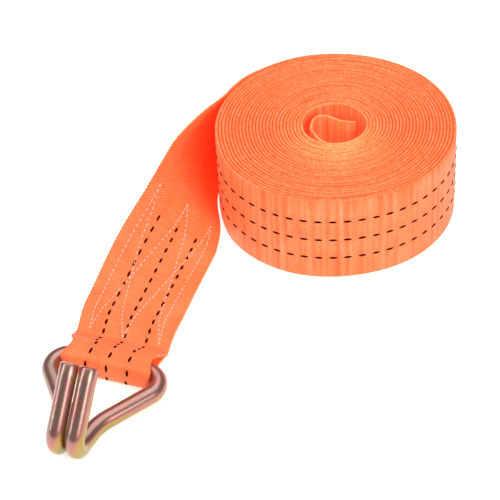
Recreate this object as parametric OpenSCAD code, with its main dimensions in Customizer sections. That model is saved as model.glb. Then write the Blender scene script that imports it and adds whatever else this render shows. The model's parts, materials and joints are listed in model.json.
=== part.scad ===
// Strap half of a ratchet tie down: 50 mm webbing wound into a roll, with a
// double-J wire hook held in a sewn eye at its outer end.
// Millimetres. The origin is on the floor, on the axis of the roll; +Z is up.

/* [Webbing] */
// Width of the webbing
web_w = 50; // [35:1:75]
// Thickness of the webbing
web_t = 1.7; // [1.4:0.1:2.0]
// Pitch of the wound turns
turn_pitch = 1.76; // [1.74:0.01:2.1]

/* [Roll] */
// Outer radius where the webbing leaves the roll
roll_r = 64; // [56:1:72]
// Radius of the hole in the core
core_r = 15; // [12:0.5:18]
// Angle at which the tail leaves the roll
leave_angle = 138; // [132:1:144]
// Bulge of the loose outer turns beside the tail
front_swell = 1.8; // [0:0.1:2]
// Dip of the outer turns at the back
back_dip = 1.1; // [0:0.1:1.5]

/* [Tail] */
// Angle to which the lower edge of the tail hugs the roll
hug_angle = 186; // [180:1:188]
// Length over which the lower edge straightens
straighten_len = 44; // [38:1:60]
// Heading of the sewn end, seen from above
end_heading = 250.5; // [246:0.5:255]
// Distance along the webbing at which the twist begins
twist_from = 14; // [8:1:20]
// Distance along the webbing at which the twist ends
twist_to = 147; // [140:1:160]
// Bias of the twist towards the roll
twist_bias = 0.8; // [0.7:0.01:1]
// Tilt that is left at the sewn end
end_tilt = 2.5; // [0:0.5:4]
// Distance along the webbing from the roll to the crossbar
bar_at = 184.5; // [180:0.5:200]
// Sideways drift of the sewn end
end_drift = 3.9; // [0:0.1:4]
// Depth of the trough across the twisting tail
trough = 7; // [0:0.5:7]

/* [Eye and seam] */
// Distance along the webbing to the cut end of the lap
lap_end = 85; // [75:1:100]
// Length of the eye behind the crossbar
eye_back = 19.5; // [18:0.5:24]
// Room in front of the crossbar
eye_front = 2.6; // [1:0.2:4]
// Half width of the webbing where it wraps the crossbar
eye_half_w = 19.8; // [17:0.2:20]
// Distance along the webbing of the far points of the seam
seam_from = 69.5; // [60:0.5:74]
// Distance along the webbing of the near points of the seam
seam_to = 163.5; // [140:0.5:164]
// Width of the sewing thread
thread_w = 0.9; // [0.6:0.1:1.2]

/* [Hook] */
// Diameter of the wire
wire_d = 9; // [7:0.5:9]
// Half width of the wire triangle at its sharp corners
hook_half_w = 35.3; // [34:0.1:38]
// Bend radius of the shoulders
shoulder_r = 8.6; // [7:0.1:9]
// Distance from the crossbar to the knuckles
knuckle_at = 38; // [34:1:42]
// Half width at the knuckles
knuckle_half_w = 7.3; // [6:0.1:9]
// Bend radius of the knuckles
knuckle_r = 28; // [18:1:30]
// Distance from the crossbar to the start of the return bends
bend_at = 50.5; // [48:0.5:56]
// Radius of the return bends
bend_r = 8; // [7:0.5:11]
// Angle between the fingers and the legs
finger_rise = 44; // [30:1:50]
// Length of the straight fingers
finger_len = 30; // [24:1:36]
// Half spacing of the fingers
finger_half = 4.8; // [4.7:0.1:6]

/* [Tracer yarns] */
// Spacing of the three tracer yarns
tracer_gap = 11.75; // [9:0.25:14]
// Width of a tracer yarn
tracer_w = 0.9; // [0.6:0.1:1.2]

/* [Hidden] */
web_color = [1.0, 0.42, 0.20];
thread_color = [1.0, 0.75, 0.70];
tracer_color = [0.22, 0.07, 0.06];
zinc_color = [0.72, 0.58, 0.42];
wire_r = wire_d / 2;
half_w = web_w / 2;
floor_gap = 0.4;
hook_gap = 0.05;
ply_gap = 0.05;
yarn_h = 0.12;
thread_h = 0.2;
thread_gap = 0.25;
eye_clear = 0.3;
eye_top_clear = 0.8;
bar_half = hook_half_w - shoulder_r / tan(corner_angle() / 2);
tail_r = roll_r + 0.45;
tail_from = 0.2;
step = 2;

function smooth(x) = let (y = min(max(x, 0), 1)) y * y * (3 - 2 * y);
function mix(a, b, f) = a + (b - a) * f;
function unit(v) = v / norm(v);
function polar(r, a) = [r * cos(a), r * sin(a)];
function corner_angle() = atan2(knuckle_at, hook_half_w - knuckle_half_w);

// The outer turns bulge beside the tail and dip at the back.
function swell(a) = let (b = a < -180 ? a + 360 : a)
    front_swell * smooth((b + 174) / 25) * (1 - smooth((b + 130) / 60))
    - back_dip * smooth((b + 40) / 50) * (1 - smooth((b - leave_angle + 20) / 20));

// The outline grows by one turn on its way round to leave_angle.
function roll_radius(a) = roll_r - turn_pitch * (leave_angle - a) / 360 + swell(a);
function roll_outline(grow) = [for (k = [0:180]) let (a = leave_angle - 360 + 2 * k) polar(roll_radius(a) + grow, a)];

// Lower edge of the tail: it hugs the roll, then straightens to the end heading.
hug_len = (hug_angle - leave_angle) * PI / 180 * tail_r;
function heading(s) = s < hug_len
    ? leave_angle + 90 + s / tail_r * 180 / PI
    : mix(hug_angle + 90, end_heading, smooth((s - hug_len) / straighten_len));
function tilt(s) = mix(90, end_tilt,
    smooth(pow(min(max((s - twist_from) / (twist_to - twist_from), 0), 1), twist_bias)));
function across_angle(s) = mix(leave_angle, end_heading - 90, smooth(s / 44));
function drift(s) = end_drift * smooth((s - bar_at + 48) / 28);
function sag(s) = trough * smooth(s / 45) * (1 - smooth((s - 60) / 104));
path_n = ceil((bar_at + 10) / step);
path = [for (i = 0, p = polar(tail_r, leave_angle); i <= path_n;
    p = p + step * polar(1, heading((i + 0.5) * step)), i = i + 1) p];
function edge_xy(s) = let (k = min(floor(s / step), path_n - 1)) mix(path[k], path[k + 1], s / step - k);
function edge(s) = let (p = edge_xy(s) + drift(s) * polar(1, end_heading + 90)) [p[0], p[1], floor_gap];
function across(s) = let (h = polar(cos(tilt(s)), across_angle(s))) [h[0], h[1], sin(tilt(s))];
function along(s) = unit(edge(s + 1) + across(s + 1) * half_w - edge(s - 1) - across(s - 1) * half_w);
function face_up(s) = unit(cross(across(s), s < 1.5 ? concat(polar(1, heading(0)), [0]) : along(s)));
// A point of the webbing: s along it, u across from its middle, h above its lower face.
// The trough draws its two edges together.
function web(s, u, h) = let (f = sag(s), q = u / half_w, narrow = 1 - pow(2 * f / half_w, 2) / 6)
    edge(s) + across(s) * (u + half_w) * narrow + face_up(s) * (h - f * (1 - q * q));

// A closed skin over rings of points that have the same number of points. The diagonals of
// the second half of each ring mirror the first half, so stacked stretches stay parallel.
module skin(rings) {
    n = len(rings[0]);
    last = len(rings) - 1;
    polyhedron(
        points = [for (r = rings) for (p = r) p],
        faces = concat(
            [[for (j = [0:n - 1]) j]],
            [[for (j = [n - 1:-1:0]) last * n + j]],
            [for (i = [0:last - 1]) for (j = [0:n - 1]) let (k = (j + 1) % n)
                [i * n + j, (i + 1) * n + j, j < n / 2 ? (i + 1) * n + k : i * n + k]],
            [for (i = [0:last - 1]) for (j = [0:n - 1]) let (k = (j + 1) % n)
                [j < n / 2 ? i * n + j : (i + 1) * n + j, (i + 1) * n + k, i * n + k]]),
        convexity = 10);
}

// A stretch of webbing between two distances along it and two heights.
module web_run(s0, s1, h0, h1, pitch = 3.8) {
    n = ceil((s1 - s0) / pitch);
    skin([for (i = [0:n]) let (s = mix(s0, s1, i / n))
        concat([for (q = [-4:4]) web(s, q / 4 * half_w, h0)],
               [for (q = [4:-1:-4]) web(s, q / 4 * half_w, h1)])]);
}

// A thin flat bar that lies on the webbing between two [s, u] points.
module web_bar(a, b, h0, h1, w, pitch = 6) {
    n = ceil(norm(b - a) / pitch);
    side = w / 2 * unit([a[1] - b[1], b[0] - a[0]]);
    skin([for (k = [0:n]) let (p = mix(a, b, k / n), l = p - side, r = p + side)
        [web(r[0], r[1], h0), web(l[0], l[1], h0), web(l[0], l[1], h1), web(r[0], r[1], h1)]]);
}

module webbing_roll() {
    color(web_color) linear_extrude(web_w) difference() {
        polygon(roll_outline(0));
        circle(core_r, $fn = 96);
    }
}

// The free inner end peels off the core wall, curls back and crosses the hole.
curl_r = 5.4;
curl_mid = polar(core_r - 0.3 - web_t - curl_r, 152);
core_line = concat(
    [for (a = [208:-8:160]) polar(core_r - 0.3 - web_t / 2, a)],
    [for (a = [144:-14:74]) curl_mid + polar(curl_r + web_t / 2, a)],
    [[1.5, 6.6], [6, 4.9], [11.6, 3.2]]);
module webbing_core_end() {
    n = len(core_line) - 1;
    dirs = [for (i = [0:n]) unit(core_line[min(i + 1, n)] - core_line[max(i - 1, 0)])];
    side = [for (d = dirs) [-d[1], d[0]] * web_t / 2];
    color(web_color) translate([0, 0, 0.5]) linear_extrude(web_w - 1.2)
        polygon(concat([for (i = [0:n]) core_line[i] + side[i]], [for (i = [n:-1:0]) core_line[i] - side[i]]));
}

module webbing_tail() {
    color(web_color) web_run(tail_from, lap_end, 0, web_t);
}

module webbing_lower_ply() {
    color(web_color) web_run(lap_end, bar_at - eye_back, 0, web_t);
}

module webbing_lap() {
    color(web_color) web_run(lap_end, bar_at - eye_back, web_t + ply_gap, 2 * web_t + ply_gap);
}

// Frame at the crossbar: a points away from the roll, c across, z off the webbing.
hook_a = along(bar_at);
hook_c = across(bar_at);
hook_z = face_up(bar_at);
bar_h = web_t + eye_clear + wire_r;
bar_mid = web(bar_at, 0, bar_h);
function at_bar(a, c, z) = bar_mid + a * hook_a + c * hook_c + z * hook_z;

// Middle line of the eye in a and z: under the bar, round its front, over its top.
eye_in = wire_r + eye_clear;
eye_top = wire_r + eye_top_clear + web_t / 2;
eye_r = (eye_in + web_t / 2 + eye_top) / 2;
eye_lift = (eye_top - eye_in - web_t / 2) / 2;
lap_z = 1.5 * web_t + ply_gap - bar_h;
eye_line = concat(
    [for (k = [0:6]) [mix(-eye_back, 0, k / 6), -eye_in - web_t / 2]],
    [for (a = [-80:20:100]) [eye_front + eye_r * cos(a), eye_lift + eye_r * sin(a)]],
    [for (k = [0:10]) [mix(-2, -eye_back, k / 10), mix(eye_top, lap_z, smooth(k / 10))]]);
function eye_half(i) = let (p = eye_line[i]) mix(half_w, eye_half_w, smooth((p[0] + 12) / 7));
module webbing_eye() {
    n = len(eye_line) - 1;
    dirs = [for (i = [0:n]) i == 0 ? [1, 0] : i == n ? [-1, 0] : unit(eye_line[i + 1] - eye_line[i - 1])];
    color(web_color) skin([for (i = [0:n]) let (p = eye_line[i], o = [dirs[i][1], -dirs[i][0]] * web_t / 2,
            out = p + o, in = p - o, e = eye_half(i))
        concat([for (q = [-2:2]) at_bar(out[0], q / 2 * e, out[1])],
               [for (q = [2:-1:-2]) at_bar(in[0], q / 2 * e, in[1])])]);
}

// The seam is one closed zigzag of six runs, sewn through both plies.
seam_half = 0.8 * half_w;
seam = [[seam_from, -seam_half], [seam_to, -seam_half], [seam_from, 0], [seam_to, seam_half],
        [seam_from, seam_half], [seam_to, 0]];
stitch_n = 16;
stitch_fill = 0.84;
lap_yarn_h = 2 * web_t + 2 * ply_gap + 0.1;
// Stitches lie between two distances along the webbing, from height h up or down.
module stitches(s0, s1, h, rise) {
    for (i = [0:5]) for (k = [0:stitch_n - 1]) {
        a = mix(seam[i], seam[(i + 1) % 6], (k + (1 - stitch_fill) / 2) / stitch_n);
        b = mix(seam[i], seam[(i + 1) % 6], (k + (1 + stitch_fill) / 2) / stitch_n);
        if (min(a[0], b[0]) > s0 && max(a[0], b[0]) < s1) web_bar(a, b, min(h, h + rise), max(h, h + rise), thread_w);
    }
}
module needle_thread() {
    color(thread_color) {
        stitches(seam_from, lap_end, web_t + thread_gap, thread_h);
        stitches(lap_end, seam_to, lap_yarn_h + yarn_h + 0.1, thread_h);
    }
}
module bobbin_thread() {
    color(thread_color) stitches(seam_from, seam_to, -thread_gap, -thread_h);
}

// A tracer yarn shows on the outside of the roll and on the face of the lap.
module tracer(u) {
    band = concat(roll_outline(yarn_h), [for (k = [180:-1:0]) roll_outline(0.02)[k]]);
    color(tracer_color) {
        translate([0, 0, half_w + u - tracer_w / 2]) linear_extrude(tracer_w) polygon(band);
        web_bar([lap_end + 2, u], [bar_at - eye_back, u], lap_yarn_h, lap_yarn_h + yarn_h, tracer_w);
    }
}
module tracer_left() { tracer(tracer_gap); }
module tracer_middle() { tracer(0); }
module tracer_right() { tracer(-tracer_gap); }

// The hook lies tipped about its crossbar so that its return bends touch the floor.
hook_tip = asin((bar_mid[2] - wire_r - finger_half * sin(end_tilt) - hook_gap) / bend_at);
wire_a = hook_a * cos(hook_tip) - hook_z * sin(hook_tip);
wire_z = hook_z * cos(hook_tip) + hook_a * sin(hook_tip);
function at_hook(p) = bar_mid + p[0] * wire_a + p[1] * hook_c + p[2] * wire_z;
function fillet(p0, p1, p2, r, n) =
    let (u = unit(p0 - p1), v = unit(p2 - p1), g = acos(u * v), m = p1 + unit(u + v) * r / sin(g / 2),
        b0 = p1 + u * r / tan(g / 2) - m, b1 = p1 + v * r / tan(g / 2) - m, w = 180 - g)
    [for (k = [0:n]) m + (sin(w * (1 - k / n)) * b0 + sin(w * k / n) * b1) / sin(w)];
turn = 180 - finger_rise;
finger_from = [bend_at + bend_r * sin(turn), finger_half, bend_r * (1 - cos(turn))];
finger_dir = [-cos(finger_rise), 0, sin(finger_rise)];
half_line = concat(
    [[0, bar_half - 2, 0]],
    fillet([0, 0, 0], [0, hook_half_w, 0], [knuckle_at, knuckle_half_w, 0], shoulder_r, 14),
    fillet([0, hook_half_w, 0], [knuckle_at, knuckle_half_w, 0], [bend_at, finger_half, 0], knuckle_r, 6),
    [for (k = [0:10]) [bend_at + bend_r * sin(turn * k / 10), finger_half, bend_r * (1 - cos(turn * k / 10))]],
    [for (q = [finger_len / 2, finger_len - 0.8, finger_len]) finger_from + finger_dir * q]);

// A round bar swept along a line, with its cut end slightly chamfered.
module rod(line, r, sides, start_r, end_r) {
    n = len(line) - 1;
    t = [for (i = [0:n]) unit(line[min(i + 1, n)] - line[max(i - 1, 0)])];
    u0 = unit(cross(t[0], [0.1, 0.2, 1]));
    us = [for (i = 0, u = u0; i <= n; i = i + 1, u = i <= n ? unit(u - (u * t[i]) * t[i]) : u) u];
    skin([for (i = [0:n]) let (q = i == 0 ? start_r : i == n ? end_r : r, v = cross(t[i], us[i]))
        [for (j = [0:sides - 1]) line[i] + q * (cos(360 * j / sides) * us[i] + sin(360 * j / sides) * v)]]);
}
module hook_half(side) {
    rod([for (p = half_line) at_hook([p[0], side * p[1], p[2]])], wire_r - 0.03, 16, wire_r - 0.3, wire_r - 0.7);
}
bar_yaw = atan2(hook_c[1], hook_c[0]);
bar_pitch = acos(hook_c[2]);
module hook_wire() {
    color(zinc_color) {
        translate(bar_mid) rotate([0, bar_pitch, bar_yaw]) cylinder(h = 2 * bar_half, r = wire_r, center = true, $fn = 64);
        hook_half(1);
        hook_half(-1);
    }
}

webbing_roll();
webbing_core_end();
webbing_tail();
webbing_lower_ply();
webbing_eye();
webbing_lap();
needle_thread();
bobbin_thread();
tracer_left();
tracer_middle();
tracer_right();
hook_wire();
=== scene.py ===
import json
from math import asin, ceil, cos, pi, radians, sin, tan

import bpy
from mathutils import Matrix, Vector, noise


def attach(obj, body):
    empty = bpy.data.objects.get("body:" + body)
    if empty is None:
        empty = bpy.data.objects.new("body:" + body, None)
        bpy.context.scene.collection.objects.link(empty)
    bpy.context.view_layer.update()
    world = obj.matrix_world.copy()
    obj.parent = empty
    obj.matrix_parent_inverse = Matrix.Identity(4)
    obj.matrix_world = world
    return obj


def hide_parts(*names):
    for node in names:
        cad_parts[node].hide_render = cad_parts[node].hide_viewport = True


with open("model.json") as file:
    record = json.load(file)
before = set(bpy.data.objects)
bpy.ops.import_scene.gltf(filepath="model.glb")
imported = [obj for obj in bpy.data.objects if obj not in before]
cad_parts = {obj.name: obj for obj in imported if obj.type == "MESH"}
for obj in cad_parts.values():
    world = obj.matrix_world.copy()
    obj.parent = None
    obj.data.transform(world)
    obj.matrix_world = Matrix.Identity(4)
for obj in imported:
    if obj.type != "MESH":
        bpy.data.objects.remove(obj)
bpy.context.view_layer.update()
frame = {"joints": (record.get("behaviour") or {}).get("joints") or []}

scene = bpy.context.scene
scene.view_settings.view_transform = "Standard"
mm = 0.001


def smooth(x):
    y = min(max(x, 0.0), 1.0)
    return y * y * (3 - 2 * y)


def mix(a, b, f):
    return a + (b - a) * f


def polar(r, angle, z=0.0):
    return Vector((r * cos(radians(angle)), r * sin(radians(angle)), z))


# A smooth line through given points, resampled at even steps.
def throughPoints(points, spacing):
    pts = [Vector(p) for p in points]
    pts = [2 * pts[0] - pts[1]] + pts + [2 * pts[-1] - pts[-2]]
    fine = []
    for i in range(1, len(pts) - 2):
        p0, p1, p2, p3 = pts[i - 1:i + 3]
        for k in range(40):
            t = k / 40
            fine.append(0.5 * (2 * p1 + (p2 - p0) * t + (2 * p0 - 5 * p1 + 4 * p2 - p3) * t * t
                               + (3 * p1 - p0 - 3 * p2 + p3) * t ** 3))
    fine.append(pts[-2])
    runs = [0.0]
    for a, b in zip(fine, fine[1:]):
        runs.append(runs[-1] + (b - a).length)
    count = ceil(runs[-1] / spacing)
    out = []
    k = 0
    for i in range(count + 1):
        want = runs[-1] * i / count
        while k < len(runs) - 2 and runs[k + 1] < want:
            k += 1
        out.append(fine[k].lerp(fine[k + 1], (want - runs[k]) / (runs[k + 1] - runs[k])))
    return out


# Camera, light and floor.
cameraSet = {
    "elevation": 41.17,   # degrees above the floor
    "roll": -3.08,
    "distance": 1025.3,   # mm from the middle of the roll
    "right": -47.56,
    "up": -43.9,
    "lens": 140.53,
}


def makeCamera(c):
    e = radians(c["elevation"])
    forward = Vector((0, cos(e), -sin(e)))
    right = Vector((1, 0, 0))
    up = Vector((0, sin(e), cos(e)))
    rollMiddle = Vector((0, 0, 25))
    place = rollMiddle - c["distance"] * forward + c["right"] * right + c["up"] * up
    turn = radians(c["roll"])
    side = right * cos(turn) + up * sin(turn)
    head = side.cross(forward)
    cam = bpy.data.objects.new("camera", bpy.data.cameras.new("camera"))
    cam.data.lens = c["lens"]
    cam.data.sensor_width = 36
    cam.data.clip_start = 0.01
    grid = Matrix((side, head, -forward)).transposed().to_4x4()
    cam.matrix_world = Matrix.Translation(place * mm) @ grid
    scene.collection.objects.link(cam)
    scene.camera = cam


studio = {
    "floorSize": 6.0,
    "floorGlow": 0.62,
    "worldColor": (0.80, 0.83, 0.88),
    "worldStrength": 0.17,
    "corePlace": (0.0, -0.45, 0.9),    # a small spot that looks into the hole of the roll
    "coreCone": 1.8,
    "coreWatts": 70.0,
    # name: (place, aim, width, height, watts, colour)
    "overhead": ((-0.10, 0.15, 1.15), (-0.03, -0.03, 0.0), 1.5, 1.2, 12.0, (1.0, 0.98, 0.96)),
    "frontKey": ((0.66, -1.12, 0.75), (0.02, -0.05, 0.02), 0.7, 0.5, 10.0, (1.0, 0.97, 0.95)),
    "leftStrip": ((-1.0, -0.25, 0.55), (-0.1, -0.1, 0.02), 0.15, 0.8, 3.2, (0.97, 0.98, 1.0)),
}


def makeLight(name, place, aim, width, height, watts, color):
    light = bpy.data.lights.new(name, "AREA")
    light.shape = "RECTANGLE"
    light.size = width
    light.size_y = height
    light.energy = watts
    light.color = color
    ob = bpy.data.objects.new(name, light)
    ob.location = place
    ob.rotation_euler = (Vector(aim) - Vector(place)).to_track_quat("-Z", "Y").to_euler()
    scene.collection.objects.link(ob)


def makeStudio(s):
    for name in ("overhead", "frontKey", "leftStrip"):
        makeLight(name, *s[name])
    spot = bpy.data.lights.new("coreSpot", "SPOT")
    spot.energy = s["coreWatts"]
    spot.spot_size = radians(s["coreCone"])
    spot.spot_blend = 0.6
    spot.shadow_soft_size = 0.02
    ob = bpy.data.objects.new("coreSpot", spot)
    ob.location = s["corePlace"]
    ob.rotation_euler = (Vector((0, 0, 0.03)) - Vector(s["corePlace"])).to_track_quat("-Z", "Y").to_euler()
    scene.collection.objects.link(ob)
    world = bpy.data.worlds.new("studio")
    world.use_nodes = True
    back = world.node_tree.nodes["Background"]
    back.inputs["Color"].default_value = (*s["worldColor"], 1)
    back.inputs["Strength"].default_value = s["worldStrength"]
    scene.world = world
    half = s["floorSize"] / 2
    mesh = bpy.data.meshes.new("floor")
    corners = [(-half, -half, 0), (half, -half, 0), (half, half, 0), (-half, half, 0)]
    mesh.from_pydata(corners, [], [(0, 1, 2, 3)])
    floor = bpy.data.objects.new("floor", mesh)
    scene.collection.objects.link(floor)
    mat = bpy.data.materials.new("paperSweep")
    mat.use_nodes = True
    shader = mat.node_tree.nodes["Principled BSDF"]
    shader.inputs["Base Color"].default_value = (0.86, 0.86, 0.86, 1)
    shader.inputs["Roughness"].default_value = 0.9
    shader.inputs["Specular IOR Level"].default_value = 0.1
    shader.inputs["Emission Color"].default_value = (1, 1, 1, 1)
    shader.inputs["Emission Strength"].default_value = s["floorGlow"]
    mesh.materials.append(mat)


makeCamera(cameraSet)
makeStudio(studio)
print("camera, light and floor are in place")


# Short calls for building a node tree: node returns the node, the others its first output.
class Tree:
    def __init__(self, nodeTree):
        self.tree = nodeTree

    def node(self, kind, inputs=(), **settings):
        n = self.tree.nodes.new(kind)
        for key, value in settings.items():
            setattr(n, key, value)
        for key, value in dict(inputs).items():
            if isinstance(value, bpy.types.NodeSocket):
                self.tree.links.new(value, n.inputs[key])
            else:
                n.inputs[key].default_value = value
        return n

    def math(self, operation, a, b=0.0, c=0.0, clamp=False):
        kind = "ShaderNodeMath"
        return self.node(kind, {0: a, 1: b, 2: c}, operation=operation, use_clamp=clamp).outputs[0]

    def vector(self, operation, a, b=None, scale=None):
        inputs = {0: a}
        if b is not None:
            inputs[1] = b
        if scale is not None:
            inputs["Scale"] = scale
        return self.node("ShaderNodeVectorMath", inputs, operation=operation).outputs[0]

    def noise(self, spot, scale, detail):
        inputs = {"Vector": spot, "Scale": scale, "Detail": detail}
        return self.node("ShaderNodeTexNoise", inputs).outputs[0]

    # A value stored on each point of the geometry, by its name.
    def named(self, label, kind="FLOAT"):
        return self.node("GeometryNodeInputNamedAttribute", {"Name": label}, data_type=kind).outputs[0]


# Inputs of a geometry node group are named; the modifier takes them by identifier.
def newGeometryTree(name, sockets):
    tree = bpy.data.node_groups.new(name, "GeometryNodeTree")
    tree.interface.new_socket("Geometry", in_out="INPUT", socket_type="NodeSocketGeometry")
    for label, kind in sockets:
        tree.interface.new_socket(label, in_out="INPUT", socket_type="NodeSocket" + kind)
    tree.interface.new_socket("Geometry", in_out="OUTPUT", socket_type="NodeSocketGeometry")
    t = Tree(tree)
    return t, t.node("NodeGroupInput").outputs


def endGeometryTree(t, geometry, material):
    real = t.node("GeometryNodeRealizeInstances", {"Geometry": geometry})
    dressed = t.node("GeometryNodeSetMaterial", {"Geometry": real.outputs[0], "Material": material})
    t.node("NodeGroupOutput", {0: dressed.outputs[0]})


# A mesh of loose points or one line, with named values at each point.
def makeGuide(name, points, values, edges=()):
    mesh = bpy.data.meshes.new(name)
    mesh.from_pydata([p * mm for p in points], list(edges), [])
    for label, data in values.items():
        isVector = hasattr(data[0], "__len__")
        attribute = mesh.attributes.new(label, "FLOAT_VECTOR" if isVector else "FLOAT", "POINT")
        if isVector:
            attribute.data.foreach_set("vector", [x for v in data for x in v])
        else:
            attribute.data.foreach_set("value", list(data))
    ob = bpy.data.objects.new(name, mesh)
    scene.collection.objects.link(ob)
    return ob


# Runs a geometry node tree on a guide and keeps the result as a plain mesh.
def growPiece(name, guide, t, inputs):
    modifier = guide.modifiers.new("grow", "NODES")
    modifier.node_group = t.tree
    for item in t.tree.interface.items_tree:
        if item.in_out == "INPUT" and item.name in inputs:
            modifier[item.identifier] = inputs[item.name]
    bpy.context.view_layer.update()
    grown = guide.evaluated_get(bpy.context.evaluated_depsgraph_get())
    mesh = bpy.data.meshes.new_from_object(grown)
    guide.modifiers.clear()
    bpy.data.objects.remove(guide)
    mesh.name = name
    piece = bpy.data.objects.new(name, mesh)
    scene.collection.objects.link(piece)
    print(name, "has", len(mesh.polygons), "faces")
    return piece


wovenLook = {
    # Painted highlight: a pale pink for the glossy yarn where the lamps catch it.
    "paintedHighlightColor": (1.0, 0.47, 0.31),
    "yarnColor": (1.0, 0.25, 0.065),
    # Painted shade: this darker red is laid into the hollows between yarns and between the turns of the roll.
    "gapShadeColor": (0.88, 0.050, 0.006),
    "rowPitch": 0.9,       # mm between warp rows
    "floatPitch": 1.7,     # mm along a row
    "selvedgePitch": 1.8,
    "reliefDepth": 0.00016,
}


def makeWovenPolyester(w, rollEnd):
    mat = bpy.data.materials.new("wovenPolyester")
    mat.use_nodes = True
    t = Tree(mat.node_tree)
    shader = mat.node_tree.nodes["Principled BSDF"]
    cloth = t.node("ShaderNodeAttribute", attribute_name="cloth").outputs["Vector"]
    inMm = t.vector("SCALE", cloth, scale=1000.0)
    parts = t.node("ShaderNodeSeparateXYZ", {0: inMm}).outputs
    s, u, h = parts[0], parts[1], parts[2]
    # Rows of warp yarn: every other row is shifted by half a float.
    row = t.math("DIVIDE", u, w["rowPitch"])
    odd = t.math("MODULO", t.math("ABSOLUTE", t.math("FLOOR", row)), 2.0)
    phase = t.math("MULTIPLY_ADD", odd, 0.5, t.math("DIVIDE", s, w["floatPitch"]))
    acrossYarn = t.math("SINE", t.math("MULTIPLY", t.math("FRACT", row), pi))
    alongYarn = t.math("SINE", t.math("MULTIPLY", t.math("FRACT", phase), pi))
    floats = t.math("MULTIPLY_ADD", alongYarn, 0.75, 0.25)
    yarn = t.math("MULTIPLY", t.math("POWER", acrossYarn, 0.6), floats)
    # The selvedge is a row of tight weft loops round the edge.
    looseSpot = t.node("ShaderNodeCombineXYZ", {0: t.math("MULTIPLY", s, 0.3)})
    wander = t.noise(looseSpot.outputs[0], 1.0, 1.0)
    loopAt = t.math("MULTIPLY_ADD", wander, 9.0, t.math("MULTIPLY", s, pi / w["selvedgePitch"]))
    loops = t.math("ABSOLUTE", t.math("SINE", loopAt))
    atEdge = t.math("GREATER_THAN", t.math("ABSOLUTE", u), 24.25)
    # Painted shade: the selvedge darkens towards both faces, where the turns of the roll meet.
    offMiddle = t.math("POWER", t.math("DIVIDE", t.math("ABSOLUTE", h), 0.87), 3.0)
    crest = t.math("SUBTRACT", 1.0, offMiddle, clamp=True)
    binding = t.math("MULTIPLY", crest, t.math("MULTIPLY_ADD", loops, 0.5, 0.45))
    relief = t.node("ShaderNodeMix", {0: atEdge, 2: yarn, 3: binding}, data_type="FLOAT").outputs[0]
    onFace = t.math("MULTIPLY_ADD", atEdge, -0.5, 1.0)
    # Beating bands: picks lie a little closer or wider here and there.
    bandAlong = t.math("MULTIPLY", s, 0.42)
    bandAcross = t.math("MULTIPLY", u, 0.012)
    bandSpot = t.node("ShaderNodeCombineXYZ", {0: bandAlong, 1: bandAcross})
    bands = t.noise(bandSpot.outputs[0], 1.0, 3.0)
    taut = t.math("DIVIDE", t.math("SUBTRACT", rollEnd, s), 30.0, clamp=True)
    bandDepth = t.math("MULTIPLY", t.math("MULTIPLY_ADD", taut, 0.85, 0.2), onFace)
    patchSpot = t.vector("MULTIPLY", inMm, (0.05, 0.09, 0.0))
    patches = t.noise(patchSpot, 1.0, 2.0)
    fibreSpot = t.vector("MULTIPLY", inMm, (0.7, 5.0, 5.0))
    fibres = t.noise(fibreSpot, 1.0, 2.0)
    # The colour runs from painted shade in the hollows, through the yarn's own orange, to a painted highlight
    # on the raised yarn; bands, patches and fuzz vary it at random.
    toneAndPaintedLight = t.math("MULTIPLY_ADD", relief, 0.5, 0.22)
    toneAndPaintedLight = t.math("ADD", toneAndPaintedLight, t.math("MULTIPLY", t.math("SUBTRACT", bands, 0.5), bandDepth))
    toneAndPaintedLight = t.math("ADD", toneAndPaintedLight, t.math("MULTIPLY_ADD", patches, 0.3, -0.15))
    fuzz = t.math("MULTIPLY", t.math("MULTIPLY_ADD", fibres, 0.8, -0.4), onFace)
    toneAndPaintedLight = t.math("ADD", toneAndPaintedLight, fuzz, clamp=True)
    ramp = t.node("ShaderNodeValToRGB", {0: toneAndPaintedLight})
    stops = ramp.color_ramp.elements
    stops[0].color = (*w["gapShadeColor"], 1)
    stops[1].color = (*w["paintedHighlightColor"], 1)
    stops.new(0.55).color = (*w["yarnColor"], 1)
    paint = ramp.outputs[0]
    bump = t.node("ShaderNodeBump", {"Height": relief, "Strength": 0.8, "Distance": w["reliefDepth"]})
    mat.node_tree.links.new(paint, shader.inputs["Base Color"])
    mat.node_tree.links.new(bump.outputs[0], shader.inputs["Normal"])
    shader.inputs["Roughness"].default_value = 0.52
    shader.inputs["Specular IOR Level"].default_value = 0.3
    shader.inputs["Sheen Weight"].default_value = 0.15
    shader.inputs["Sheen Roughness"].default_value = 0.35
    shader.inputs["Sheen Tint"].default_value = (1.0, 0.78, 0.72, 1)
    # Painted glow: a faint red emission keeps the webbing's shaded parts bright red, though the webbing is no
    # lamp.
    shader.inputs["Emission Color"].default_value = (1.0, 0.02, 0.0, 1)
    shader.inputs["Emission Strength"].default_value = 0.22
    return mat


def makeYarn(name, light, dark, roughness, sheen, gloss):
    mat = bpy.data.materials.new(name)
    mat.use_nodes = True
    t = Tree(mat.node_tree)
    shader = mat.node_tree.nodes["Principled BSDF"]
    spot = t.node("ShaderNodeTexCoord").outputs["Object"]
    strands = t.noise(spot, 2600.0, 2.0)
    paint = t.node("ShaderNodeMix", {0: strands, 6: (*dark, 1), 7: (*light, 1)}, data_type="RGBA").outputs[2]
    bump = t.node("ShaderNodeBump", {"Height": strands, "Strength": 0.5, "Distance": 0.00008})
    mat.node_tree.links.new(paint, shader.inputs["Base Color"])
    mat.node_tree.links.new(bump.outputs[0], shader.inputs["Normal"])
    shader.inputs["Roughness"].default_value = roughness
    shader.inputs["Sheen Weight"].default_value = sheen
    shader.inputs["Specular IOR Level"].default_value = gloss
    return mat


zincLook = {
    "rose": (0.48, 0.175, 0.165),
    "gold": (0.45, 0.29, 0.045),
    "olive": (0.28, 0.25, 0.07),
    "steel": (0.36, 0.235, 0.18),
}


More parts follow.
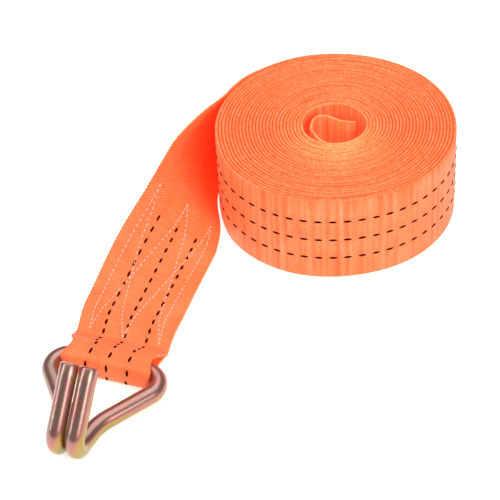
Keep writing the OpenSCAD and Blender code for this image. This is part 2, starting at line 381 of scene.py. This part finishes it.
def makeYellowZinc(z):
    mat = bpy.data.materials.new("yellowZincPlate")
    mat.use_nodes = True
    t = Tree(mat.node_tree)
    shader = mat.node_tree.nodes["Principled BSDF"]
    spot = t.node("ShaderNodeTexCoord").outputs["Object"]
    # Painted reflection: the tint shifts with the way each face of the wire points, upward faces towards
    # steel and rose, downward faces towards gold and olive; slow clouds and fine specks along the wire are
    # the plating's own colour.
    facing = t.node("ShaderNodeNewGeometry").outputs["Normal"]
    rise = t.node("ShaderNodeSeparateXYZ", {0: facing}).outputs
    clouds = t.noise(spot, 45.0, 2.0)
    specks = t.noise(spot, 900.0, 3.0)
    filmAndPaintedReflection = t.math("MULTIPLY_ADD", rise[2], 0.40, 0.36)
    filmAndPaintedReflection = t.math("ADD", filmAndPaintedReflection, t.math("MULTIPLY", rise[0], -0.16))
    filmAndPaintedReflection = t.math("ADD", filmAndPaintedReflection, t.math("MULTIPLY_ADD", clouds, 0.9, -0.45))
    filmAndPaintedReflection = t.math("ADD", filmAndPaintedReflection, t.math("MULTIPLY_ADD", specks, 0.16, -0.08), clamp=True)
    ramp = t.node("ShaderNodeValToRGB", {0: filmAndPaintedReflection})
    stops = ramp.color_ramp.elements
    stops[0].position = 0.0
    stops[0].color = (*z["olive"], 1)
    stops[1].position = 1.0
    stops[1].color = (*z["olive"], 1)
    for place, color in ((0.2, "gold"), (0.42, "rose"), (0.62, "steel"), (0.8, "rose")):
        stops.new(place).color = (*z[color], 1)
    rough = t.math("MULTIPLY_ADD", specks, 0.16, 0.24)
    bump = t.node("ShaderNodeBump", {"Height": specks, "Strength": 0.25, "Distance": 0.00004})
    mat.node_tree.links.new(ramp.outputs[0], shader.inputs["Base Color"])
    mat.node_tree.links.new(rough, shader.inputs["Roughness"])
    mat.node_tree.links.new(bump.outputs[0], shader.inputs["Normal"])
    shader.inputs["Metallic"].default_value = 0.78
    shader.inputs["Coat Weight"].default_value = 0.5
    shader.inputs["Coat Roughness"].default_value = 0.06
    return mat


seamThread = makeYarn("seamThread", (1.0, 0.66, 0.58), (1.0, 0.46, 0.36), 0.5, 0.2, 0.4)
markerYarn = makeYarn("markerYarn", (0.070, 0.004, 0.003), (0.020, 0.001, 0.001), 0.9, 0.0, 0.05)
yellowZinc = makeYellowZinc(zincLook)
print("finishes are mixed")

# Route of the webbing, in mm.
strap = {
    "width": 50.0,
    "thickness": 1.7,
    "turnPitch": 1.76,
    "rollRadius": 64.0,
    "coreRadius": 14.0,
    "leaveAngle": 138.0,   # where the tail leaves the roll
    "frontSwell": 1.8,     # loose outer turns beside the tail
    "backDip": 1.1,
    "hugAngle": 186.0,     # how far its lower edge hugs the roll
    "straightenLen": 44.0,
    "endHeading": 250.5,
    "twistFrom": 14.0,
    "twistTo": 147.0,
    "twistBias": 0.8,
    "endTilt": 2.5,
    "trough": 7.0,         # how deep the tail is hollowed across its width
    "barAt": 184.5,        # distance from the roll to the crossbar
    "endDrift": 3.9,
    "lapEnd": 85.0,        # cut end of the lap
    "lapSkew": -0.8,
    "eyeBack": 19.5,
    "floorGap": 0.4,
    "plyGap": 0.05,
    "tuck": 1.1,           # how far one selvedge is drawn in before the eye
    "tailGap": 0.45,
}
halfWidth = strap["width"] / 2
thick = strap["thickness"]
lapFace = 2 * thick + 2 * strap["plyGap"]
tailRadius = strap["rollRadius"] + strap["tailGap"]
hugLen = radians(strap["hugAngle"] - strap["leaveAngle"]) * tailRadius
routeStep = 2.0


def heading(s):
    if s < hugLen:
        return strap["leaveAngle"] + 90 + s / tailRadius * 180 / pi
    return mix(strap["hugAngle"] + 90, strap["endHeading"], smooth((s - hugLen) / strap["straightenLen"]))


def tilt(s):
    share = min(max((s - strap["twistFrom"]) / (strap["twistTo"] - strap["twistFrom"]), 0), 1)
    return mix(90, strap["endTilt"], smooth(share ** strap["twistBias"]))


def makeEdgeRoute():
    points = [polar(tailRadius, strap["leaveAngle"])]
    for i in range(ceil((strap["barAt"] + 10) / routeStep)):
        points.append(points[-1] + polar(routeStep, heading((i + 0.5) * routeStep)))
    return points


edgeRoute = makeEdgeRoute()


def edgeAt(s):
    k = min(int(s / routeStep), len(edgeRoute) - 2)
    p = edgeRoute[k].lerp(edgeRoute[k + 1], s / routeStep - k)
    drift = strap["endDrift"] * smooth((s - strap["barAt"] + 42) / 28)
    return p + polar(drift, strap["endHeading"] + 90, strap["floorGap"])


def acrossAt(s):
    angle = mix(strap["leaveAngle"], strap["endHeading"] - 90, smooth(s / 44))
    return polar(cos(radians(tilt(s))), angle, sin(radians(tilt(s))))


def alongAt(s):
    if s < 1.5:
        return polar(1, heading(0))
    ahead = edgeAt(s + 1) + acrossAt(s + 1) * halfWidth
    return (ahead - edgeAt(s - 1) - acrossAt(s - 1) * halfWidth).normalized()


def upAt(s):
    return acrossAt(s).cross(alongAt(s)).normalized()


def troughAt(s):
    return strap["trough"] * smooth(s / 45) * (1 - smooth((s - 60) / 104))


# The trough draws the two edges together.
def narrowAt(s):
    return 1 - (2 * troughAt(s) / halfWidth) ** 2 / 6


# A point of the webbing: s along it, u across from its middle, h above its lower face.
def webAt(s, u, h):
    hollow = troughAt(s) * (1 - (u / halfWidth) ** 2)
    return edgeAt(s) + acrossAt(s) * (u + halfWidth) * narrowAt(s) + upAt(s) * (h - hollow)


# The bar and its frame: alongBar points away from the roll, upBar off the webbing.
pivot = next(j for j in frame["joints"] if j["name"] == "hook_pivot")
barMiddle = Vector(pivot["pos_m"]) / mm
acrossBar = Vector(pivot["axis"]).normalized()
alongBar = alongAt(strap["barAt"])
upBar = acrossBar.cross(alongBar).normalized()


def barPoint(a, c, z):
    return barMiddle + alongBar * a + acrossBar * c + upBar * z


# One cross-section of the webbing; its middle is raised by the given sag along its own up.
def station(mid, across, along, spread=halfWidth, skew=0.0, sag=0.0):
    up = across.cross(along).normalized()
    return {
        "mid": mid, "across": across, "along": along, "up": up,
        "spread": spread, "skew": skew, "sag": sag,
    }


def tailStation(s, height, side):
    tuck = strap["tuck"] * smooth((s - strap["barAt"] + 44) / 24)
    mid = edgeAt(s) + acrossAt(s) * (halfWidth * narrowAt(s) + tuck) + upAt(s) * height
    skew = -strap["lapSkew"] * smooth(1 - (s - strap["lapEnd"]) / 25) if side < 0 else 0.0
    spread = halfWidth * narrowAt(s) - tuck
    return station(mid, acrossAt(s), alongAt(s) * side, spread, skew, -troughAt(s) * side)


# The free inner end: it crosses the hole, curls back and runs onto the wall of the core.
coreEnd = {
    "points": [(10.6, 1.2), (5.8, 2.0), (1.5, 3.9), (-1.9, 6.4), (-5.0, 8.2), (-8.4, 8.0), (-10.7, 5.8),
               (-12.0, 2.4), (-12.7, -1.6)],
    "joinAngle": 250.0,
    "lift": 0.0,
}
sky = Vector((0, 0, 1))


# The outer turns bulge beside the tail and dip at the back; the core stays round.
def swell(angle):
    b = (angle + 180) % 360 - 180
    front = smooth((b + 174) / 25) * (1 - smooth((b + 130) / 60))
    back = smooth((b + 40) / 50) * (1 - smooth((b - strap["leaveAngle"] + 20) / 20))
    return strap["frontSwell"] * front - strap["backDip"] * back


def rollMid(angle):
    r = strap["rollRadius"] - thick / 2 - strap["turnPitch"] * (strap["leaveAngle"] - angle) / 360
    return r + swell(angle) * (r - strap["coreRadius"]) / (strap["rollRadius"] - strap["coreRadius"])


def windRoll():
    turns = (strap["rollRadius"] - strap["coreRadius"] - thick) / strap["turnPitch"]
    start = strap["leaveAngle"] - 360 * int(turns) - (strap["leaveAngle"] - coreEnd["joinAngle"]) % 360
    while rollMid(start) - thick / 2 < strap["coreRadius"]:
        start += 360
    inner = [(x, y, 0) for x, y in coreEnd["points"]]
    joinRadius = rollMid(start)
    inner += [polar(12.95, 200), polar(13.4, 218)]
    inner += [polar(mix(13.7, joinRadius, 0.5), 234), polar(joinRadius, coreEnd["joinAngle"])]
    places = [(p, None) for p in throughPoints(inner, 1.2)[:-1]]    # the wound part has angles, this has none
    angle = start
    while angle < strap["leaveAngle"] - 0.01:
        places.append((polar(rollMid(angle), angle), angle))
        angle += 5 if angle < strap["leaveAngle"] - 380 else 0.8
    out = []
    for i, (p, angle) in enumerate(places):
        ahead = places[min(i + 1, len(places) - 1)][0]
        behind = places[max(i - 1, 0)][0]
        along = (ahead - behind).normalized()
        lift = coreEnd["lift"]
        if angle is not None:
            # Turns don't lie quite level, and the last of them eases out to the tail.
            spot = polar(1.3, angle, (angle - start) / 360 * 0.8)
            lift = max(0.0, 0.3 + 0.6 * noise.noise(spot))
            last = smooth((angle - strap["leaveAngle"] + 60) / 60)
            lift = mix(lift, strap["floorGap"], last)
            p = p + p.normalized() * strap["tailGap"] * last
            lift = mix(coreEnd["lift"], lift, smooth((angle - start) / 200))
        out.append(station(p + sky * (halfWidth + lift), sky, along))
    return out


# Middle line of the eye round the bar, as along, up and half width: under the bar, round
# its front, over a sharp crease and back down to the seam.
eye = {
    "points": [
        (-19.5, -5.65, 25.0), (-13, -5.65, 23.3), (-7, -5.65, 21.4), (-2, -5.65, 20.6), (3, -5.6, 20.2),
        (5.7, -4.9, 20.2), (7.0, -2.8, 20.8), (7.5, 0.1, 21.6), (7.4, 3.0, 22.4), (7.1, 5.0, 22.8),
        (6.1, 6.2, 22.7), (4.0, 6.6, 22.0), (0.5, 6.6, 20.9), (-3, 6.2, 20.7), (-6.5, 4.5, 21.7),
        (-10, 1.9, 23.9), (-13.5, -0.8, 24.9), (-16.5, -2.8, 25.0), (-19.5, -3.9, 25.0)],
}


def foldEye(spacing):
    line = throughPoints(eye["points"], spacing)
    endS = strap["barAt"] - strap["eyeBack"]
    low = webAt(endS, 0, thick / 2) - barPoint(line[0][0], 0, line[0][1])
    high = webAt(endS, 0, lapFace - strap["plyGap"] - thick / 2) - barPoint(line[-1][0], 0, line[-1][1])
    out = []
    for i, p in enumerate(line):
        ahead = line[min(i + 1, len(line) - 1)]
        behind = line[max(i - 1, 0)]
        step = (ahead - behind).normalized()
        share = i / (len(line) - 1)
        nudge = low * (1 - smooth(share / 0.25)) + high * smooth((share - 0.75) / 0.25)
        along = alongBar * step[0] + upBar * step[1]
        tuck = strap["tuck"] * smooth((-p[0] - 3) / 10)
        out.append(station(barPoint(p[0], tuck, p[1]) + nudge, acrossBar, along, p[2] - tuck))
    return out


def routeWebbing(spacing):
    rings = windRoll()
    rollCount = len(rings)
    endS = strap["barAt"] - strap["eyeBack"]
    count = ceil(endS / spacing)
    for i in range(count):
        rings.append(tailStation(endS * i / count, thick / 2, 1))
    rings += foldEye(spacing)
    lapCount = ceil((endS - strap["lapEnd"]) / spacing)
    lapHeight = lapFace - strap["plyGap"] - thick / 2
    for i in range(1, lapCount + 1):
        rings.append(tailStation(mix(endS, strap["lapEnd"], i / lapCount), lapHeight, -1))
    run = 0.0
    for i, ring in enumerate(rings):
        if i:
            run += (ring["mid"] - rings[i - 1]["mid"]).length
        ring["run"] = run
        ring["loose"] = smooth((i - rollCount) / 40)
    return rings, rollCount


rings, rollCount = routeWebbing(0.45)

# The webbing is this section, swept along its rings.
section = {
    "edgeRadius": 0.72,
    "edgeSteps": 4,
    "faceSteps": 7,
    "selvedgeDepth": 0.24,
}


# Half thickness at the edges is a little less than in the middle, as selvedges are beaten tight.
def sectionPoints(c):
    r = c["edgeRadius"]
    flat = halfWidth - r
    points = []
    for side in (1, -1):
        for k in range(c["edgeSteps"] + 1):
            a = radians(-90 + 180 * k / c["edgeSteps"])
            points.append(Vector((side * (flat + r * cos(a)), side * (thick / 2 - 0.06) * sin(a), 0)))
        for k in range(1, c["faceSteps"]):
            points.append(Vector((side * flat * (1 - 2 * k / c["faceSteps"]), side * thick / 2, 0)))
    return points


def sweepTree():
    t, given = newGeometryTree("sweepWebbing", [
        ("Section", "Object"), ("Half width", "Float"), ("Selvedge pitch", "Float"),
        ("Selvedge depth", "Float"), ("Material", "Material")])
    outline = t.node("GeometryNodeObjectInfo", {"Object": given["Section"]}).outputs["Geometry"]
    ringCount = t.node("GeometryNodeAttributeDomainSize", {0: given["Geometry"]}).outputs["Point Count"]
    sides = t.node("GeometryNodeAttributeDomainSize", {0: outline}).outputs["Point Count"]
    columns = t.math("ADD", sides, 1.0)
    grid = t.node("GeometryNodeMeshGrid", {"Vertices X": ringCount, "Vertices Y": columns}).outputs["Mesh"]
    index = t.node("GeometryNodeInputIndex").outputs[0]
    ring = t.math("FLOOR", t.math("DIVIDE", t.math("ADD", index, 0.5), columns))
    corner = t.math("MODULO", t.math("SUBTRACT", index, t.math("MULTIPLY", ring, columns)), sides)

    def ringValue(label, kind):
        source = t.node("GeometryNodeInputPosition").outputs[0]
        if label:
            source = t.named(label, kind)
        links = {"Geometry": given["Geometry"], "Value": source, "Index": ring}
        return t.node("GeometryNodeSampleIndex", links, data_type=kind).outputs[0]

    place = t.node("GeometryNodeInputPosition").outputs[0]
    links = {"Geometry": outline, "Value": place, "Index": corner}
    spot = t.node("GeometryNodeSampleIndex", links, data_type="FLOAT_VECTOR").outputs[0]
    xy = t.node("ShaderNodeSeparateXYZ", {0: spot}).outputs
    share = t.math("DIVIDE", xy[0], given["Half width"])
    run = ringValue("run", "FLOAT")
    # Loops of the selvedge swell the two edges.
    loops = t.math("COSINE", t.math("MULTIPLY", t.math("DIVIDE", run, given["Selvedge pitch"]), 2 * pi))
    edge = t.math("GREATER_THAN", t.math("ABSOLUTE", share), 0.96)
    depth = t.math("MULTIPLY", given["Selvedge depth"], ringValue("loose", "FLOAT"))
    bumps = t.math("MULTIPLY", t.math("MULTIPLY", loops, depth), edge)
    reach = t.math("MULTIPLY", share, t.math("ADD", ringValue("spread", "FLOAT"), bumps))
    thickness = t.math("MULTIPLY", xy[1], ringValue("body", "FLOAT"))
    hollow = t.math("SUBTRACT", 1.0, t.math("MULTIPLY", share, share))
    height = t.math("MULTIPLY_ADD", hollow, ringValue("sag", "FLOAT"), thickness)
    outward = t.vector("SCALE", ringValue("across", "FLOAT_VECTOR"), scale=reach)
    point = t.vector("ADD", ringValue("", "FLOAT_VECTOR"), outward)
    point = t.vector("ADD", point, t.vector("SCALE", ringValue("up", "FLOAT_VECTOR"), scale=height))
    skew = t.math("MULTIPLY", share, ringValue("skew", "FLOAT"))
    point = t.vector("ADD", point, t.vector("SCALE", ringValue("along", "FLOAT_VECTOR"), scale=skew))
    moved = t.node("GeometryNodeSetPosition", {"Geometry": grid, "Position": point}).outputs[0]
    cloth = t.node("ShaderNodeCombineXYZ", {0: run, 1: xy[0], 2: thickness}).outputs[0]
    named = t.node("GeometryNodeStoreNamedAttribute", {"Geometry": moved, "Name": "cloth", "Value": cloth},
                   data_type="FLOAT_VECTOR", domain="POINT").outputs[0]
    joined = t.node("GeometryNodeMergeByDistance", {"Geometry": named, "Distance": 0.000002}).outputs[0]
    even = t.node("GeometryNodeSetShadeSmooth", {"Geometry": joined}).outputs[0]
    endGeometryTree(t, even, given["Material"])
    return t


def makeWebbing():
    # The first and last rings close to a line, which shuts the two cut ends.
    ends = [dict(rings[0], body=0.0)] + [dict(r, body=1.0) for r in rings] + [dict(rings[-1], body=0.0)]
    values = {
        "across": [r["across"] for r in ends],
        "up": [r["up"] for r in ends],
        "along": [r["along"] for r in ends],
        "spread": [r["spread"] * mm for r in ends],
        "skew": [r["skew"] * mm for r in ends],
        "sag": [r["sag"] * mm for r in ends],
        "loose": [r["loose"] for r in ends],
        "run": [r["run"] * mm for r in ends],
        "body": [r["body"] for r in ends],
    }
    guide = makeGuide("webbingGuide", [r["mid"] for r in ends], values)
    outline = makeGuide("webbingSection", sectionPoints(section), {})
    piece = growPiece("webbing", guide, sweepTree(), {
        "Section": outline,
        "Half width": halfWidth * mm,
        "Selvedge pitch": wovenLook["selvedgePitch"] * mm,
        "Selvedge depth": section["selvedgeDepth"] * mm,
        "Material": wovenPolyester,
    })
    bpy.data.objects.remove(outline)
    return piece


wovenPolyester = makeWovenPolyester(wovenLook, rings[rollCount]["run"])
webbing = makeWebbing()


# Stitches and tracer floats are the same small yarn, laid at many places.
def yarnTree():
    t, given = newGeometryTree("layYarns", [
        ("Length", "Float"), ("Width", "Float"), ("Height", "Float"), ("Unevenness", "Float"),
        ("Seed", "Int"), ("Material", "Material")])
    bead = t.node("GeometryNodeMeshUVSphere", {"Segments": 10, "Rings": 6, "Radius": 0.5}).outputs["Mesh"]
    axes = {"Primary Axis": t.named("along", "FLOAT_VECTOR"), "Secondary Axis": t.named("up", "FLOAT_VECTOR")}
    turned = t.node("FunctionNodeAxesToRotation", axes, primary_axis="X", secondary_axis="Z").outputs[0]
    least = t.math("SUBTRACT", 1.0, given["Unevenness"])
    limits = {2: least, 3: 1.0, "Seed": given["Seed"]}
    vary = t.node("FunctionNodeRandomValue", limits, data_type="FLOAT").outputs[1]
    reach = t.math("MULTIPLY", given["Length"], vary)
    size = t.node("ShaderNodeCombineXYZ", {0: reach, 1: given["Width"], 2: given["Height"]}).outputs[0]
    laid = t.node("GeometryNodeInstanceOnPoints", {
        "Points": given["Geometry"], "Instance": bead, "Rotation": turned, "Scale": size}).outputs[0]
    real = t.node("GeometryNodeRealizeInstances", {"Geometry": laid}).outputs[0]
    even = t.node("GeometryNodeSetShadeSmooth", {"Geometry": real}).outputs[0]
    endGeometryTree(t, even, given["Material"])
    return t


layYarns = yarnTree()
seam = {
    # where the zigzag turns: distance along the webbing and across it
    "corners": [(69.8, -19.3), (163.5, -17.6), (66.5, -3.5), (162.9, 18.8), (71.7, 18.5), (164.0, 1.2)],
    "stitches": 32,        # on each run from corner to corner
    "length": 2.8,
    "width": 0.68,
    "height": 0.6,
}


def layStitches(name, upper, seed):
    corners = seam["corners"]
    mids, alongs, ups = [], [], []
    for i, corner in enumerate(corners):
        start, end = Vector(corner), Vector(corners[(i + 1) % len(corners)])
        for k in range(seam["stitches"]):
            p = start.lerp(end, (k + 0.5) / seam["stitches"])
            d = (end - start).normalized() * 0.5
            height = -0.05
            if upper:
                cut = strap["lapEnd"] + strap["lapSkew"] * p[1] / halfWidth
                height = lapFace + 0.1 if p[0] > cut else thick + 0.12
            mids.append(webAt(p[0], p[1], height))
            ahead = webAt(p[0] + d[0], p[1] + d[1], height)
            alongs.append((ahead - webAt(p[0] - d[0], p[1] - d[1], height)).normalized())
            ups.append(upAt(p[0]))
    guide = makeGuide(name + "Guide", mids, {"along": alongs, "up": ups})
    return growPiece(name, guide, layYarns, {
        "Length": seam["length"] * mm,
        "Width": seam["width"] * mm,
        "Height": seam["height"] * mm,
        "Unevenness": 0.45,
        "Seed": seed,
        "Material": seamThread,
    })


needleThread = layStitches("needleThread", True, 4)
bobbinThread = layStitches("bobbinThread", False, 9)

tracer = {
    "gap": 11.75,          # between rows
    "lapShift": -0.9,      # the lap is sewn a little off the middle
    "lapPitch": 6.9,
    "rollPitch": 7.3,
    "fromCut": 1.9,        # first float of the lap
    "fromLeave": 4.3,      # first float of the last turn
    "length": 4.6,
    "width": 1.35,
    "height": 0.7,
}


# Floats lie on the outer face, counted back from the cut end of the lap and then back round the roll.
def layTracer(name, u, seed):
    mids, alongs, ups = [], [], []
    want = rings[-1]["run"] - tracer["fromCut"]
    leaveRun = rings[rollCount]["run"]
    k = len(rings) - 2
    while want > leaveRun - 2 * pi * strap["rollRadius"]:
        while rings[k]["run"] > want:
            k -= 1
        r, q = rings[k], rings[k + 1]
        f = (want - r["run"]) / (q["run"] - r["run"])
        share = (u + (tracer["lapShift"] if want > leaveRun else 0.0)) / halfWidth
        mid = r["mid"].lerp(q["mid"], f) + r["across"] * mix(r["spread"], q["spread"], f) * share
        mid += r["along"] * mix(r["skew"], q["skew"], f) * share
        mid += r["up"] * mix(r["sag"], q["sag"], f) * (1 - share * share)
        mids.append(mid - r["up"] * (thick / 2))
        alongs.append((q["mid"] - r["mid"]).normalized())
        ups.append(-r["up"])
        onRoll = want < leaveRun
        want -= tracer["rollPitch"] if onRoll else tracer["lapPitch"]
        if want < leaveRun and not onRoll:
            want = leaveRun - tracer["fromLeave"]
    guide = makeGuide(name + "Guide", mids, {"along": alongs, "up": ups})
    return growPiece(name, guide, layYarns, {
        "Length": tracer["length"] * mm,
        "Width": tracer["width"] * mm,
        "Height": tracer["height"] * mm,
        "Unevenness": 0.12,
        "Seed": seed,
        "Material": markerYarn,
    })


tracerLeft = layTracer("tracerLeft", tracer["gap"], 1)
tracerMiddle = layTracer("tracerMiddle", 0.0, 2)
tracerRight = layTracer("tracerRight", -tracer["gap"], 3)

# The hook is one wire swept along its bends.
hook = {
    "wireRadius": 4.5,
    "halfWidth": 35.3,     # at the sharp corners of the wire triangle
    "shoulderRadius": 8.6,
    "knuckleAt": 38.0,
    "knuckleHalf": 7.3,
    "knuckleRadius": 28.0,
    "bendAt": 50.5,
    "bendRadius": 8.0,
    "fingerRise": 44.0,
    "fingerLen": 31.0,
    "fingerHalf": 4.8,
    "sides": 48,
    "floorGap": 0.05,
}
hookTip = asin((barMiddle[2] - hook["wireRadius"] - hook["fingerHalf"] * sin(radians(strap["endTilt"]))
                - hook["floorGap"]) / hook["bendAt"])
wireAlong = alongBar * cos(hookTip) - upBar * sin(hookTip)
wireUp = upBar * cos(hookTip) + alongBar * sin(hookTip)


def roundCorner(p0, p1, p2, r, steps):
    a = (p0 - p1).normalized()
    b = (p2 - p1).normalized()
    opening = a.angle(b)
    middle = p1 + (a + b).normalized() * r / sin(opening / 2)
    r0 = p1 + a * r / tan(opening / 2) - middle
    r1 = p1 + b * r / tan(opening / 2) - middle
    turn = pi - opening
    points = []
    for k in range(steps + 1):
        spoke = sin(turn * (1 - k / steps)) * r0 + sin(turn * k / steps) * r1
        points.append(middle + spoke / sin(turn))
    return points


def halfWire(h):
    corner = Vector((0, h["halfWidth"], 0))
    knuckle = Vector((h["knuckleAt"], h["knuckleHalf"], 0))
    bend = Vector((h["bendAt"], h["fingerHalf"], 0))
    line = roundCorner(Vector((0, 0, 0)), corner, knuckle, h["shoulderRadius"], 24)
    line += roundCorner(corner, knuckle, bend, h["knuckleRadius"], 12)
    turn = 180 - h["fingerRise"]
    for k in range(1, 25):
        a = radians(turn * k / 24)
        spoke = Vector((h["bendRadius"] * sin(a), 0, h["bendRadius"] * (1 - cos(a))))
        line.append(bend + spoke)
    rise = radians(h["fingerRise"])
    finger = Vector((-cos(rise), 0, sin(rise)))
    fingerFrom = line[-1]
    for q in (0.2, 0.4, 0.6, 0.8, 1.0):
        line.append(fingerFrom + finger * (h["fingerLen"] - 0.5) * q)
    line.append(line[-1] + finger * 0.3)
    line.append(line[-1] + finger * 0.2)
    return line


def makeHook(h):
    half = halfWire(h)
    line = [Vector((p[0], -p[1], p[2])) for p in reversed(half)]
    bar = half[0][1]
    line += [Vector((0, bar * k / 6, 0)) for k in range(-5, 6)]
    line += half
    points = [barMiddle + wireAlong * p[0] + acrossBar * p[1] + wireUp * p[2] for p in line]
    girth = [1.0] * len(points)
    for i, g in ((0, 0.86), (1, 0.965), (-1, 0.86), (-2, 0.965)):
        girth[i] = g
    edges = [(i, i + 1) for i in range(len(points) - 1)]
    guide = makeGuide("hookGuide", points, {"girth": girth}, edges)
    t, given = newGeometryTree("sweepWire", [
        ("Wire radius", "Float"), ("Sides", "Int"), ("Material", "Material")])
    path = t.node("GeometryNodeMeshToCurve", {0: given["Geometry"]}).outputs[0]
    share = t.named("girth")
    circle = {"Resolution": given["Sides"], "Radius": given["Wire radius"]}
    ring = t.node("GeometryNodeCurvePrimitiveCircle", circle).outputs[0]
    sweep = {"Curve": path, "Profile Curve": ring, "Scale": share, "Fill Caps": True}
    swept = t.node("GeometryNodeCurveToMesh", sweep).outputs[0]
    even = t.node("GeometryNodeSetShadeSmooth", {"Geometry": swept}).outputs[0]
    endGeometryTree(t, even, given["Material"])
    return growPiece("hook", guide, t, {
        "Wire radius": h["wireRadius"] * mm,
        "Sides": h["sides"],
        "Material": yellowZinc,
    })


hookPiece = makeHook(hook)

# What each piece rides on and stands for.
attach(webbing, "webbing")
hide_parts("webbing_roll", "webbing_core_end", "webbing_tail",
            "webbing_lower_ply", "webbing_eye", "webbing_lap")
for piece, node, finish in (
    (needleThread, "needle_thread", "sewing_thread"),
    (bobbinThread, "bobbin_thread", "sewing_thread"),
    (tracerLeft, "tracer_left", "tracer_yarn"),
    (tracerMiddle, "tracer_middle", "tracer_yarn"),
    (tracerRight, "tracer_right", "tracer_yarn"),
):
    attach(piece, "webbing")
    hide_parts(node)
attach(hookPiece, "hook")
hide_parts("hook_wire")
print("every piece rides on its body")
